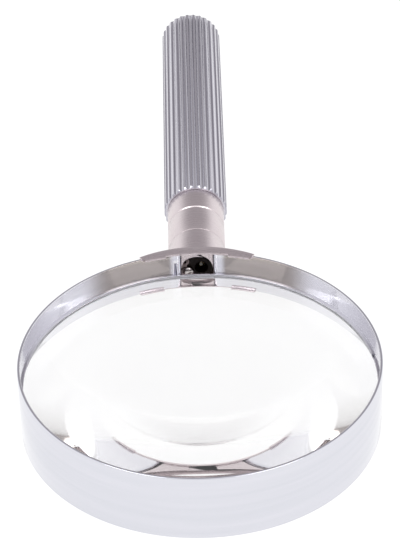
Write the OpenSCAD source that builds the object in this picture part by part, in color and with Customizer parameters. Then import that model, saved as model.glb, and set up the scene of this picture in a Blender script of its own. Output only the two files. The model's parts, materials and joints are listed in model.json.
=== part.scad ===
// Lighted hand magnifier: a glass lens in a split sheet-metal ring, held by a saddle
// on a tubular battery handle with a turning switch ring and a small lamp in its neck.
// The handle runs along +Y and the lens faces up. The ring stands on z = 0.

/* [Lens ring] */
// Outer diameter of the ring
ring_d = 100; // [98:0.5:102]
// Height of the ring
ring_h = 20.5; // [20.5:0.5:22]
// Thickness of the ring's sheet metal
ring_wall = 0.8; // [0.7:0.1:0.9]
// Width of the gap between the ring's bent ends
gap_w = 9; // [8.5:0.5:9.5]
// Outer radius of the bend at each end of the ring
bend_r = 1.5; // [1.3:0.1:1.6]

/* [Lens] */
// Radius of both curved faces of the lens
lens_face_r = 200; // [190:5:230]
// Thickness of the lens at its edge
lens_edge = 2.4; // [1.4:0.2:3]
// Height of the lens's middle above the ring's middle
lens_lift = 1.1; // [0.8:0.1:1.4]
// Height of the flat wire of the two snap rings
snap_h = 0.6; // [0.5:0.1:0.9]

/* [Saddle] */
// Radius of the saddle's outer face, seen from above
saddle_r = 33; // [31:1:36]
// Thickness of the saddle at its middle
saddle_t = 2.4; // [2.2:0.1:2.6]
// Thickness of the lips that lap over the ring's rims
lip_t = 0.5; // [0.4:0.1:0.6]
// Half the width of the saddle at the back of the lips
saddle_half_w = 16.7; // [15:0.5:18]

/* [Neck] */
// Diameter of the neck
neck_d = 16.8; // [16.6:0.1:17.2]
// Length of the fixed neck socket, from the ring's outside
socket_len = 13.9; // [13.9:0.1:14.5]
// Length of the turning switch ring
switch_len = 11.3; // [11.3:0.1:11.8]
// Length of the collar behind the switch ring
collar_len = 8.8; // [8.5:0.1:9.5]
// Angle that the switch ring turns through
switch_angle = 60; // [45:5:75]

/* [Grip] */
// Diameter over the flutes
grip_d = 18.8; // [18.8:0.1:19.4]
// Length of the fluted barrel
grip_len = 99.2; // [99:0.2:102]
// Number of flutes
flute_count = 28; // [24:1:30]
// Radius of each flute
flute_r = 0.75; // [0.6:0.05:0.8]
// Pitch of the thread between collar and barrel
thread_pitch = 1; // [0.8:0.1:1.2]

/* [Cells] */
// Diameter of one cell
cell_d = 14.2; // [13.8:0.1:14.3]
// Length of one cell with its cap
cell_len = 50.5; // [50:0.1:50.5]

/* [Lamp] */
// Radius of the lamp's glass
lamp_r = 1.7; // [1.5:0.1:1.8]
// Sideways place of the lamp from the handle's axis
lamp_x = 1.2; // [1:0.1:1.4]

/* [Hidden] */
$fn = 96;
eps = 0.01;        // overshoot of a cut past a face
run_gap = 0.05;    // radial clearance of what turns or slides

// Lens ring and lens
ring_r = ring_d / 2;
inner_r = ring_r - ring_wall;
axis_z = ring_h / 2;
bend_x = gap_w / 2 + bend_r;
bend_y = sqrt(pow(inner_r + bend_r, 2) - pow(bend_x, 2));
bend_a = asin(bend_x / (inner_r + bend_r));
lens_r = inner_r - 0.1;
snap_inner_r = inner_r - 0.5;
snap_outer_r = inner_r + 0.15;
lens_sag = lens_face_r - sqrt(pow(lens_face_r, 2) - pow(lens_r, 2));
snap_sag = lens_face_r - sqrt(pow(lens_face_r, 2) - pow(snap_inner_r, 2));
lens_z = axis_z + lens_lift;
snap_z = lens_edge / 2 + lens_sag - snap_sag;   // wire's near face from the lens's middle
snap_split_a = 80;                              // place of each snap ring's split

// Saddle
saddle_back = ring_r + saddle_t;
flange_end = saddle_back - 0.4;
land_y = ring_r + 0.3;             // face of the land between the bent ends
claw_in = 0.8;                     // reach of the claws past the ring's inside
claw_a = 10.5;                     // where the claws begin, from the middle
end_slope = 0.917;                 // sideways run of the slanted ends per unit of Y
arch_top = 8.9;                    // top of the light slot above the axis

// Stations along the handle, from the ring's centre
socket_end = ring_r + socket_len;
switch_end = socket_end + switch_len;
collar_end = switch_end + collar_len;
grip_end = collar_end + 0.1 + grip_len;
middle_y = (grip_end - ring_r) / 2;
insert_y = ring_r + 6;
insert_len = 6.2;
insert_back = insert_y + insert_len;
rotor_y = socket_end + 0.1;
rotor_len = 2.8;
pin_y = rotor_y + rotor_len / 2;
carrier_y = rotor_y + rotor_len + 1.4;
nub_y = switch_end + 0.5;          // tip of the front cell's cap

// Radii about the handle's axis
neck_r = neck_d / 2;
bore_r = 6.2;
spigot_r = 6.9;
boss_r = 5.5;
thread_r = 7.9;
cell_room_r = 7.3;
cell_r = cell_d / 2;
grip_r = grip_d / 2;
barrel_bore_r = thread_r + run_gap;
male_len = 7.5;
groove_depth = 0.25;
end_chamfer = 0.5;
plug_t = 2;
cap_h = 1.4;
cap_r = 2.75;
spring_wire = 0.35;
spring_turns = 4;
rest_pin_a = 180 - switch_angle / 2;   // the switch pin at rest, clockwise from the top
contact_reach = 3;
pin_r = 0.7;
pin_in_r = 4.2;                    // inner end of the switch pin
slot_w = 2 * pin_r + 0.4;
slot_margin_a = 9;                 // what the slot has past the pin's middle at each end

// Moves what is drawn about the ring's centre to the middle of the whole magnifier.
module placed() { translate([0, -middle_y, 0]) children(); }

// Stands its children on the handle's axis at station y, with their +Z along the handle.
module on_handle(y) {
    placed() translate([0, y, axis_z]) rotate([-90, 0, 0]) children();
}

// Turns a child that points along +X so that it points at a clock angle from the top.
module at_clock(a) { rotate([0, 0, a - 90]) children(); }

// A place on a face across the handle: x to the right and z up from the axis.
module on_face(x, z) { translate([x, -z, 0]) children(); }

module tube(outer_r, tube_inner_r, length) {
    difference() {
        cylinder(r = outer_r, h = length);
        translate([0, 0, -eps]) cylinder(r = tube_inner_r, h = length + 2 * eps);
    }
}

// One end of the ring's band, rolled outward, on the +X side.
module bent_end_plan() {
    translate([bend_x, bend_y]) intersection() {
        difference() {
            circle(bend_r);
            circle(bend_r - ring_wall);
        }
        polygon([[0, 0], [-4, 0], [-4, -4], [-4 * sin(bend_a), -4 * cos(bend_a)]]);
    }
    translate([gap_w / 2, bend_y]) square([ring_wall, flange_end - bend_y]);
}

module ring_plan() {
    difference() {
        circle(ring_r, $fn = 360);
        circle(inner_r, $fn = 360);
        polygon([[0, 0], [2 * ring_r * sin(bend_a), 2 * ring_r * cos(bend_a)],
                 [-2 * ring_r * sin(bend_a), 2 * ring_r * cos(bend_a)]]);
    }
    bent_end_plan();
    mirror([1, 0]) bent_end_plan();
}

// The saddle seen from above, as far in as a given radius.
module saddle_plan(from_r) {
    low_y = ring_r - 6;
    half_low = saddle_half_w - (ring_r - 1.8 - low_y) * end_slope;
    half_high = half_low + (saddle_back + 1 - low_y) * end_slope;
    intersection() {
        difference() {
            translate([0, saddle_back - saddle_r]) circle(saddle_r, $fn = 240);
            circle(from_r, $fn = 360);
        }
        polygon([[-half_low, low_y], [half_low, low_y],
                 [half_high, saddle_back + 1], [-half_high, saddle_back + 1]]);
    }
}

module lip_plan() {
    saddle_plan(inner_r);
    difference() {
        saddle_plan(inner_r - claw_in);
        polygon([[0, 0], [2 * ring_r * sin(claw_a), 2 * ring_r * cos(claw_a)],
                 [-2 * ring_r * sin(claw_a), 2 * ring_r * cos(claw_a)]]);
    }
}

// The corner that the bend's hollow side leaves to the saddle.
module bend_relief_plan() {
    difference() {
        translate([gap_w / 2, land_y - 1.5]) square([bend_r, bend_y - land_y + 1.5]);
        translate([bend_x, bend_y]) circle(bend_r - ring_wall);
    }
}

module lens_ring() {
    color("silver") placed() difference() {
        linear_extrude(ring_h) ring_plan();
        for (z = [-eps, ring_h - lip_t])
            translate([0, 0, z]) linear_extrude(lip_t + eps) saddle_plan(inner_r - 1);
        for (z = [lens_z + snap_z, lens_z - snap_z - snap_h])
            translate([0, 0, z]) difference() {
                cylinder(r = snap_outer_r, h = snap_h, $fn = 360);
                translate([0, 0, -eps]) cylinder(r = inner_r - 1, h = snap_h + 2 * eps);
            }
    }
}

module lens() {
    color([0.85, 0.93, 0.95, 0.4]) placed() translate([0, 0, lens_z]) intersection() {
        translate([0, 0, lens_edge / 2 + lens_sag - lens_face_r]) sphere(lens_face_r, $fn = 360);
        translate([0, 0, lens_face_r - lens_sag - lens_edge / 2]) sphere(lens_face_r, $fn = 360);
        cylinder(r = lens_r, h = ring_h, center = true, $fn = 360);
    }
}

// A flat snap ring of spring wire, split at one place.
module snap_ring(z) {
    color("gainsboro") placed() translate([0, 0, lens_z + z]) difference() {
        cylinder(r = snap_outer_r, h = snap_h, $fn = 360);
        translate([0, 0, -eps]) cylinder(r = snap_inner_r, h = snap_h + 2 * eps, $fn = 360);
        rotate([0, 0, -snap_split_a]) translate([-1, inner_r - 2, -eps])
            cube([2, 4, snap_h + 2 * eps]);
    }
}

module upper_snap_ring() { snap_ring(snap_z); }
module lower_snap_ring() { snap_ring(-snap_z - snap_h); }

module saddle() {
    color("lightgray") placed() difference() {
        union() {
            linear_extrude(ring_h) difference() {
                saddle_plan(ring_r);
                translate([-gap_w / 2, 0]) square([gap_w, land_y]);
                for (side = [0, 1]) mirror([side, 0]) {
                    translate([gap_w / 2, 0]) square([ring_wall, flange_end]);
                    bend_relief_plan();
                }
            }
            for (z = [0, ring_h - lip_t]) translate([0, 0, z]) linear_extrude(lip_t) lip_plan();
        }
        for (z = [arch_top - gap_w / 2, gap_w / 2 - arch_top])
            translate([0, ring_r, axis_z + z]) rotate([-90, 0, 0])
                cylinder(r = gap_w / 2, h = 4);
        translate([-gap_w / 2, ring_r, axis_z - arch_top + gap_w / 2])
            cube([gap_w, 4, 2 * arch_top - gap_w]);
    }
}

// A point outside the spigot, at an angle past the pin's rest place.
function slot_corner(a) = 12 * [cos(rest_pin_a + a - 90), sin(rest_pin_a + a - 90)];

module neck_socket() {
    color("lightgray") difference() {
        union() {
            on_handle(ring_r) cylinder(r = neck_r, h = socket_end - ring_r);
            on_handle(socket_end - 1) cylinder(r = spigot_r, h = switch_len - 0.3 + 1);
        }
        placed() translate([0, saddle_back - saddle_r, -1])
            cylinder(r = saddle_r, h = ring_h + 2, $fn = 240);
        on_handle(ring_r) cylinder(r = bore_r + 0.4, h = insert_y - 0.8 - ring_r);
        on_handle(ring_r) cylinder(r = bore_r - 0.4, h = insert_y - ring_r);
        on_handle(insert_y) cylinder(r = bore_r, h = switch_end - insert_y);
        on_handle(pin_y - slot_w / 2) linear_extrude(slot_w)
            polygon([[0, 0], slot_corner(-slot_margin_a), slot_corner(switch_angle + slot_margin_a)]);
    }
}

module rear_collar() {
    teeth = floor((male_len - 1) / thread_pitch);
    color("lightgray") difference() {
        on_handle(carrier_y) rotate_extrude() polygon(concat(
            [[boss_r, 0], [bore_r, 0], [bore_r, switch_end - carrier_y],
             [neck_r - 0.5, switch_end - carrier_y],
             [neck_r, switch_end - carrier_y + 0.5], [neck_r, collar_end - carrier_y],
             [thread_r, collar_end - carrier_y]],
            [for (i = [0 : teeth - 1]) for (p = [[0, 0.4], [-groove_depth, 0.65], [0, 0.9]])
                [thread_r + p[0], collar_end - carrier_y + (i + p[1]) * thread_pitch]],
            [[thread_r, collar_end - carrier_y + male_len - 0.4],
             [thread_r - 0.3, collar_end - carrier_y + male_len],
             [cell_room_r, collar_end - carrier_y + male_len],
             [cell_room_r, switch_end - carrier_y + 1.4],
             [boss_r, switch_end - carrier_y + 1.4]]));
    }
}

// Sideways and upward places of the pieces on the lamp insert's face.
screw_x = -2.9;
screw_z = -1.25;
eyelet_x = -3.6;
eyelet_z = 2.5;
screw_slot_a = 25.6;

module lamp_insert() {
    color("#2a1a14") on_handle(insert_y) difference() {
        cylinder(r = bore_r, h = insert_len);
        on_face(lamp_x, 0) translate([0, 0, -eps]) cylinder(r = lamp_r + 0.3, h = insert_len + 1);
        on_face(screw_x, screw_z) translate([0, 0, -eps]) cylinder(r = 0.8, h = 4.5, $fn = 48);
        on_face(eyelet_x, eyelet_z) translate([0, 0, -eps]) cylinder(r = 0.75, h = 2, $fn = 48);
    }
}

module lamp_bulb() {
    color([0.9, 0.95, 1, 0.5]) on_handle(insert_y + 1.4) on_face(lamp_x, 0) {
        translate([0, 0, lamp_r]) cylinder(r = lamp_r, h = 3.2 - lamp_r, $fn = 64);
        intersection() {
            translate([0, 0, lamp_r]) sphere(lamp_r, $fn = 64);
            cylinder(r = lamp_r + 1, h = lamp_r);
        }
    }
}

module lamp_base() {
    color("goldenrod") on_handle(insert_y + 4.6) on_face(lamp_x, 0) {
        cylinder(r = lamp_r + 0.3, h = 1.6, $fn = 64);
        cylinder(r = 0.7, h = 1.8, $fn = 48);
    }
}

module contact_screw() {
    color("silver") on_handle(insert_y - 0.25) on_face(screw_x, screw_z) difference() {
        union() {
            intersection() {
                translate([0, 0, -1]) cylinder(r = 1.9, h = 1, $fn = 64);
                translate([0, 0, 2]) sphere(3, $fn = 96);
            }
            cylinder(r = 0.8, h = 4.7, $fn = 48);
        }
        rotate([0, 0, screw_slot_a]) translate([-3, -0.25, -1.5]) cube([6, 0.5, 1]);
    }
}

module earth_tag() {
    color("gainsboro") on_handle(insert_y - 0.25) difference() {
        linear_extrude(0.25) {
            translate([screw_x, -screw_z]) circle(1.5);
            translate([eyelet_x, -eyelet_z]) circle(1.3);
            translate([screw_x - 1.7, -eyelet_z]) square([1.6, eyelet_z - screw_z]);
        }
        on_face(screw_x, screw_z) translate([0, 0, -eps]) cylinder(r = 0.8, h = 1, $fn = 48);
        on_face(eyelet_x, eyelet_z) translate([0, 0, -eps]) cylinder(r = 0.75, h = 1, $fn = 48);
    }
}

module earth_eyelet() {
    color("gainsboro") on_handle(insert_y - 0.25) on_face(eyelet_x, eyelet_z) difference() {
        union() {
            translate([0, 0, -0.2]) cylinder(r = 1, h = 0.2, $fn = 48);
            cylinder(r = 0.75, h = 2, $fn = 48);
        }
        translate([0, 0, -1]) cylinder(r = 0.5, h = 4, $fn = 48);
    }
}

// A strip behind the insert that brings the lamp's rear contact to the axis.
module lamp_contact() {
    color("goldenrod") on_handle(insert_back) difference() {
        union() {
            linear_extrude(0.2) translate([-1, -1]) square([lamp_x + 2, 2]);
            cylinder(r = 0.8, h = 0.6, $fn = 48);
        }
        on_face(lamp_x, 0) translate([0, 0, -eps]) cylinder(r = 0.7, h = 1, $fn = 48);
    }
}

module contact_carrier() {
    color("#221a18") on_handle(carrier_y) difference() {
        cylinder(r = boss_r, h = switch_end - carrier_y);
        translate([0, 0, -eps]) cylinder(r = 0.8, h = switch_end, $fn = 48);
    }
}

// The cells' contact: a disc behind, a stem on the axis and an arm in front.
module battery_contact() {
    color("goldenrod") {
        on_handle(carrier_y - 0.3) cylinder(r = 0.8, h = switch_end - carrier_y + 0.3, $fn = 48);
        on_handle(switch_end) cylinder(r = 3, h = 0.3);
        on_handle(carrier_y - 0.3) at_clock(rest_pin_a + switch_angle)
            translate([0, -0.8, 0]) cube([contact_reach + 0.8, 1.6, 0.3]);
    }
}

module switch_ring() {
    color("lightgray") on_handle(socket_end + 0.1) difference() {
        cylinder(r = neck_r, h = switch_len - 0.2);
        translate([0, 0, -eps]) cylinder(r = spigot_r + run_gap, h = switch_len);
        translate([0, 0, pin_y - socket_end - 0.1]) at_clock(rest_pin_a) rotate([0, 90, 0])
            cylinder(r = pin_r, h = neck_r + 1, $fn = 48);
    }
}

module switch_pin() {
    color("silver") on_handle(pin_y) at_clock(rest_pin_a) translate([pin_in_r, 0, 0]) rotate([0, 90, 0])
        cylinder(r = pin_r, h = neck_r - 0.2 - pin_in_r, $fn = 48);
}

module switch_rotor() {
    color("#221a18") on_handle(rotor_y) difference() {
        cylinder(r = bore_r - 0.15, h = rotor_len);
        translate([0, 0, -eps]) cylinder(r = 0.6, h = rotor_len + 1, $fn = 48);
        translate([0, 0, rotor_len / 2]) at_clock(rest_pin_a) translate([pin_in_r, 0, 0]) rotate([0, 90, 0])
            cylinder(r = pin_r, h = 4, $fn = 48);
    }
}

// The rotor's contact: a disc in front, a stem through the rotor and a blade behind.
module rotor_contact() {
    color("goldenrod") {
        on_handle(insert_back + 0.7) cylinder(r = 1.2, h = rotor_y - insert_back - 0.7);
        on_handle(rotor_y) cylinder(r = 0.6, h = rotor_len, $fn = 48);
        on_handle(rotor_y + rotor_len) at_clock(rest_pin_a) {
            translate([-0.8, -0.8, 0]) cube([contact_reach + 1.4, 1.6, 0.3]);
            translate([contact_reach, 0, 0]) cylinder(r = 0.6, h = 1, $fn = 48);
        }
    }
}

module liner_tube() {
    color("tan") on_handle(collar_end + male_len + 0.5)
        tube(barrel_bore_r - run_gap, cell_room_r + 0.05, grip_end - plug_t - collar_end - male_len - 0.6);
}

// A conical spring, swept along a helix that widens towards the plug.
module tail_spring() {
    y0 = nub_y + 2 * cell_len;
    length = grip_end - plug_t - y0;
    sides = 8;
    steps = spring_turns * 24;
    rise = length - 2 * spring_wire;
    points = [for (i = [0 : steps]) let (t = i / steps, a = 360 * spring_turns * t,
                  r = 2.6 + 2.6 * t, z = spring_wire + rise * t)
              for (j = [0 : sides - 1]) let (b = 360 * j / sides)
              [(r + spring_wire * cos(b)) * cos(a), (r + spring_wire * cos(b)) * sin(a),
               z + spring_wire * sin(b)]];
    walls = [for (i = [0 : steps - 1]) for (j = [0 : sides - 1])
             let (k = (j + 1) % sides)
             [i * sides + j, (i + 1) * sides + j, (i + 1) * sides + k, i * sides + k]];
    ends = [[for (j = [0 : sides - 1]) j], [for (j = [sides - 1 : -1 : 0]) steps * sides + j]];
    color("silver") on_handle(y0) polyhedron(points, concat(walls, ends));
}

module grip_barrel() {
    color("#b9b6bd") on_handle(collar_end + 0.1) difference() {
        rotate_extrude() polygon([
            [barrel_bore_r, 0], [grip_r - end_chamfer, 0], [grip_r, end_chamfer],
            [grip_r, grip_len - end_chamfer], [grip_r - end_chamfer, grip_len],
            [barrel_bore_r, grip_len]]);
        for (i = [0 : flute_count - 1]) rotate([0, 0, (i + 0.5) * 360 / flute_count])
            translate([grip_r + 0.15, 0, -1]) cylinder(r = flute_r, h = grip_len + 2, $fn = 24);
    }
}

module end_plug() {
    color("#b9b6bd") on_handle(grip_end - plug_t) difference() {
        cylinder(r = barrel_bore_r, h = plug_t - 0.3);
        translate([0, 0, -eps]) tube(2.2, 0.8, 0.3);
    }
}

module cell_body(y) {
    color("#5a6068") on_handle(y + cap_h) cylinder(r = cell_r, h = cell_len - cap_h);
}

module cell_cap(y) {
    color("silver") on_handle(y) cylinder(r = cap_r, h = cap_h);
}

module front_cell() { cell_body(nub_y); }
module front_cell_cap() { cell_cap(nub_y); }
module rear_cell() { cell_body(nub_y + cell_len); }
module rear_cell_cap() { cell_cap(nub_y + cell_len); }

lens_ring();
lens();
upper_snap_ring();
lower_snap_ring();
saddle();
neck_socket();
rear_collar();
lamp_insert();
lamp_bulb();
lamp_base();
contact_screw();
earth_tag();
earth_eyelet();
lamp_contact();
contact_carrier();
battery_contact();
switch_ring();
switch_pin();
switch_rotor();
rotor_contact();
liner_tube();
tail_spring();
grip_barrel();
end_plug();
front_cell();
front_cell_cap();
rear_cell();
rear_cell_cap();
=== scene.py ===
# %% [markdown]
# # A lighted hand magnifier
# A thick glass lens sits in a ring of bright chromed steel. A small saddle holds the ring on
# a tube, and the tube carries a switch ring, a collar and a fluted grip with two cells in it.
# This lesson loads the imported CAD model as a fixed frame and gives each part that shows
# a better twin: softened edges, real thickness, and a finish that answers to light as the
# metal or glass does. Every twin stands exactly where its CAD node stands.

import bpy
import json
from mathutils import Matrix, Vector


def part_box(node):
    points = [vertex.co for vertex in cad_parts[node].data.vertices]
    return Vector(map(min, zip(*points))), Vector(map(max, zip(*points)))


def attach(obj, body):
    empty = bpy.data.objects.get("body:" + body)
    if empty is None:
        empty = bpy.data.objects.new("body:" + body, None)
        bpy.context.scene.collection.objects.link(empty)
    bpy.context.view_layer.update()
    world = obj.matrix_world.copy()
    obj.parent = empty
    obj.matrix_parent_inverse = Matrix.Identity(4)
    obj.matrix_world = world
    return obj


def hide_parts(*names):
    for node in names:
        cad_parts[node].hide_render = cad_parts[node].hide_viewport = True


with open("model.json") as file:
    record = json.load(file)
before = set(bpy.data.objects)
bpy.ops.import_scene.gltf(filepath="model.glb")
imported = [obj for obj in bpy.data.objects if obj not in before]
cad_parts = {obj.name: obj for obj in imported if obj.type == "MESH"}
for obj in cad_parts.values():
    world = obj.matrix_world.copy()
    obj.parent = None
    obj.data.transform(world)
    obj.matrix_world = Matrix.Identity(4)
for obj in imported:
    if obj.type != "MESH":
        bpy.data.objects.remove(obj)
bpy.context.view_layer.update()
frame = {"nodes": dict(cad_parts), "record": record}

# %% [markdown]
# ## Measures
# Blender works in metres, and the drawing is in millimetres, so one constant turns one into
# the other. Places come from the CAD nodes' own boxes. Along the handle they are given as
# stations: millimetres behind the ring's centre.

# %% Units, the ring's centre and the handle's axis
import json
from math import asin, cos, degrees, hypot, pi, radians, sin, sqrt

import bmesh
import bpy
from mathutils import Matrix, Vector

MM = 0.001
ring_low, ring_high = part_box("lens_ring")
ring_r = (ring_high.x - ring_low.x) / 2 / MM
ring_h = (ring_high.z - ring_low.z) / MM
axis_z = ring_h / 2
centre_y = ring_low.y + ring_r * MM
ring_centre = Vector((0, centre_y, axis_z * MM))
print(f"ring: {2 * ring_r:.1f} mm across, {ring_h:.1f} mm high, "
      f"centre at y = {centre_y / MM:.2f} mm")


def stations(node):
    """The first and last station of a CAD node, in millimetres behind the ring's centre."""
    low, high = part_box(node)
    return (low.y - centre_y) / MM, (high.y - centre_y) / MM


for node in ("neck_socket", "switch_ring", "rear_collar", "grip_barrel", "end_plug"):
    print(f"{node}: stations {stations(node)[0]:.2f} to {stations(node)[1]:.2f} mm")

# %% [markdown]
# ## The camera
# The magnifier lies on its ring with the handle pointing away. It is seen from in front and
# above, through a long lens, so the handle hardly narrows with distance. The camera's three
# directions are written down as they are: right, up and back.

# %% The camera
CAMERA_PLACE = (0, -0.65393, 0.48494)
CAMERA_RIGHT = (0.999616, -0.0172545, -0.0216920)
CAMERA_UP = (0.0277026, 0.596352, 0.802245)
CAMERA_BACK = (-0.000906, -0.802537, 0.596601)
LENS_LENGTH, SENSOR_WIDTH = 177.64, 36

bpy.ops.object.camera_add(location=CAMERA_PLACE)
camera = bpy.context.object
turn = Matrix((CAMERA_RIGHT, CAMERA_UP, CAMERA_BACK)).transposed()
camera.rotation_euler = turn.to_euler()
camera.data.lens = LENS_LENGTH
camera.data.sensor_width = SENSOR_WIDTH
camera.data.clip_start = 0.05
camera.data.clip_end = 50
bpy.context.scene.camera = camera
print("camera looks down", round(degrees(asin(CAMERA_BACK[2])), 1), "degrees")

# %% [markdown]
# ## Small helpers for modelling by hand
# Blender's tools act on whatever is selected. So each step here first clears the selection,
# then picks vertices, edges or faces by their place, and then calls the tool.

# %% Selecting
def only(obj):
    """Selects this object and nothing else."""
    bpy.ops.object.select_all(action="DESELECT")
    obj.select_set(True)
    bpy.context.view_layer.objects.active = obj
    return obj


def edit(kind="VERT"):
    bpy.ops.object.mode_set(mode="EDIT")
    bpy.ops.mesh.select_mode(type=kind)


def leave():
    bpy.ops.object.mode_set(mode="OBJECT")


def pick(test, kind="verts"):
    """In edit mode: selects the verts, edges or faces that pass the test."""
    bpy.ops.mesh.select_mode(type={"verts": "VERT", "edges": "EDGE", "faces": "FACE"}[kind])
    bpy.ops.mesh.select_all(action="DESELECT")
    data = bpy.context.object.data
    mesh = bmesh.from_edit_mesh(data)
    for part in getattr(mesh, kind):
        if test(part):
            part.select_set(True)
    if kind == "verts":  # edges between picked vertices are picked too
        mesh.select_flush(True)
    bmesh.update_edit_mesh(data)


def pick_all():
    bpy.ops.mesh.select_all(action="SELECT")


# %% [markdown]
# ## Turned parts
# Most of the handle was made on a lathe, and a lathe is easy to copy: draw half of the
# section as a line, round its corners, and spin it about the axis. The section is given as
# corners of radius and station, and a corner may have a third number, its rounding.

# %% Drawing an outline and spinning it
HANDLE = {"point": lambda r, s: Vector((r * MM, centre_y + s * MM, axis_z * MM)),
          "centre": (0, 0, axis_z * MM), "axis": (0, 1, 0)}
RING = {"point": lambda r, z: Vector((r * MM, centre_y, z * MM)),
        "centre": tuple(ring_centre), "axis": (0, 0, 1)}
TURN_STEPS = 128
TINY = 1e-6


def beside(x, z):
    """A lathe axis along the handle that passes x to the right of it and z above it, in mm."""
    return {"point": lambda r, s: Vector(((x + r) * MM, centre_y + s * MM, (axis_z + z) * MM)),
            "centre": (x * MM, 0, (axis_z + z) * MM), "axis": (0, 1, 0)}


def outline(name, corners, lathe, closed=True):
    """Draws a line through the corners, rounds those that ask for it, and stays in edit mode."""
    points = [lathe["point"](*corner[:2]) for corner in corners]
    bpy.ops.object.select_all(action="DESELECT")
    bpy.ops.mesh.primitive_plane_add(size=MM, location=points[0])
    obj = bpy.context.object
    obj.name = obj.data.name = name
    bpy.ops.object.transform_apply(location=True, rotation=True, scale=True)
    edit()
    pick_all()
    bpy.ops.mesh.merge(type="CENTER")
    path = points[1:] + (points[:1] if closed else [])
    for here, there in zip([points[0], *path], path):
        bpy.ops.mesh.extrude_region_move(TRANSFORM_OT_translate={"value": there - here})
    pick_all()
    bpy.ops.mesh.remove_doubles(threshold=TINY)
    for rounding in sorted({corner[2] for corner in corners if len(corner) > 2}):
        wanted = [p for p, corner in zip(points, corners) if corner[2:] == (rounding,)]
        pick(lambda v: any((v.co - p).length < TINY for p in wanted))
        bpy.ops.mesh.bevel(offset=rounding * MM, segments=3, affect="VERTICES")
    pick_all()
    return obj


def close_up():
    """Merges seams and poles and turns every face outwards."""
    pick_all()
    bpy.ops.mesh.remove_doubles(threshold=TINY)
    bpy.ops.mesh.normals_make_consistent(inside=False)
    leave()


def smooth(obj, angle=32):
    only(obj)
    bpy.ops.object.shade_smooth_by_angle(angle=radians(angle))


def turned(name, corners, lathe=HANDLE, steps=TURN_STEPS, closed=True):
    obj = outline(name, corners, lathe, closed)
    bpy.ops.mesh.spin(steps=steps, angle=2 * pi, center=lathe["centre"], axis=lathe["axis"])
    close_up()
    smooth(obj)
    return obj


def cut(obj, *cutters):
    """Takes the cutters' shapes out of a piece with exact booleans, and removes the cutters."""
    for cutter in cutters:
        only(obj)
        modifier = obj.modifiers.new("Cut", "BOOLEAN")
        modifier.operation, modifier.solver, modifier.object = "DIFFERENCE", "EXACT", cutter
        bpy.ops.object.modifier_apply(modifier=modifier.name)
        bpy.data.objects.remove(cutter)
    return obj


def soften(obj, width, angle=35):
    """Rounds every edge sharper than the angle by a width in mm, as use and polishing do."""
    only(obj)
    modifier = obj.modifiers.new("Soften", "BEVEL")
    modifier.width, modifier.segments = width * MM, 2
    modifier.limit_method, modifier.angle_limit = "ANGLE", radians(angle)
    bpy.ops.object.modifier_apply(modifier=modifier.name)
    smooth(obj)
    return obj


def block(low, high, name="cutter"):
    """A cube between two corners in mm: x, station and height above the axis."""
    low, high = (Vector((x * MM, centre_y + s * MM, (axis_z + z) * MM)) for x, s, z in (low, high))
    bpy.ops.object.select_all(action="DESELECT")
    bpy.ops.mesh.primitive_cube_add(size=1, location=(low + high) / 2)
    obj = bpy.context.object
    obj.name = name
    obj.scale = high - low
    bpy.ops.object.transform_apply(location=True, rotation=True, scale=True)
    return obj


# %% [markdown]
# ## Putting a piece in the frame
# A finished piece rides on the body of the CAD node that it replaces, so the joints move it.
# It also gets its finish in its own material slot. The node's facts are in the frame.

# %% Riding, replacing and giving the finish
body_of = {node: body for body, nodes in frame["record"]["behaviour"]["bodies"].items()
           for node in nodes}
made = []


def fit(obj, node, material):
    """Puts a piece in the place of a CAD node, in its finish."""
    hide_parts(node)
    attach(obj, body_of[node])
    obj.data.materials.clear()
    obj.data.materials.append(material)
    made.append(obj)
    places = [obj.matrix_world @ vertex.co for vertex in obj.data.vertices]
    corners = [Vector(map(choose, *places)) for choose in (min, max)]
    off = max(abs(c) for mine, cad in zip(corners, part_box(node)) for c in mine - cad) / MM
    print(f"{obj.name}: {len(obj.data.polygons)} faces, rides on {body_of[node]}, "
          f"box off by {off:.2f} mm")
    return obj


# %% [markdown]
# ## Small helpers for finishes
# Colours are written as the sRGB hex values that a paint chart gives, and shaders want linear
# light, so one function turns one into the other. One more adds a node, sets it and links it.

# %% Colours and nodes
TWO_COLOURS = {"data_type": "RGBA"}
SOFT_STEP = {"interpolation_type": "SMOOTHSTEP"}
MIDDLE = {"From Min": 0.3, "From Max": 0.7}  # most of a noise lies between these values


def colour(code):
    """A linear colour with alpha from an sRGB code such as #c0c0c0."""
    channels = [int(code[i:i + 2], 16) / 255 for i in (1, 3, 5)]
    return tuple(c / 12.92 if c <= 0.04045 else ((c + 0.055) / 1.055) ** 2.4
                 for c in channels) + (1,)


def add(tree, kind, settings=None, values=None, links=None):
    """Adds a node: settings are its own choices, values its sockets, links what feeds them."""
    node = tree.nodes.new("ShaderNode" + kind)
    for key, value in (settings or {}).items():
        setattr(node, key, value)
    for key, value in (values or {}).items():
        node.inputs[key].default_value = value
    for key, output in (links or {}).items():
        tree.links.new(output, node.inputs[key])
    return node


def finish(name, **values):
    """A new material with its shader: gives back the material, its tree and the shader."""
    material = bpy.data.materials.new(name)
    material.use_nodes = True
    tree = material.node_tree
    shader = tree.nodes["Principled BSDF"]
    for key, value in values.items():
        shader.inputs[key.replace("_", " ")].default_value = value
    print("finish:", name)
    return material, tree, shader
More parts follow.
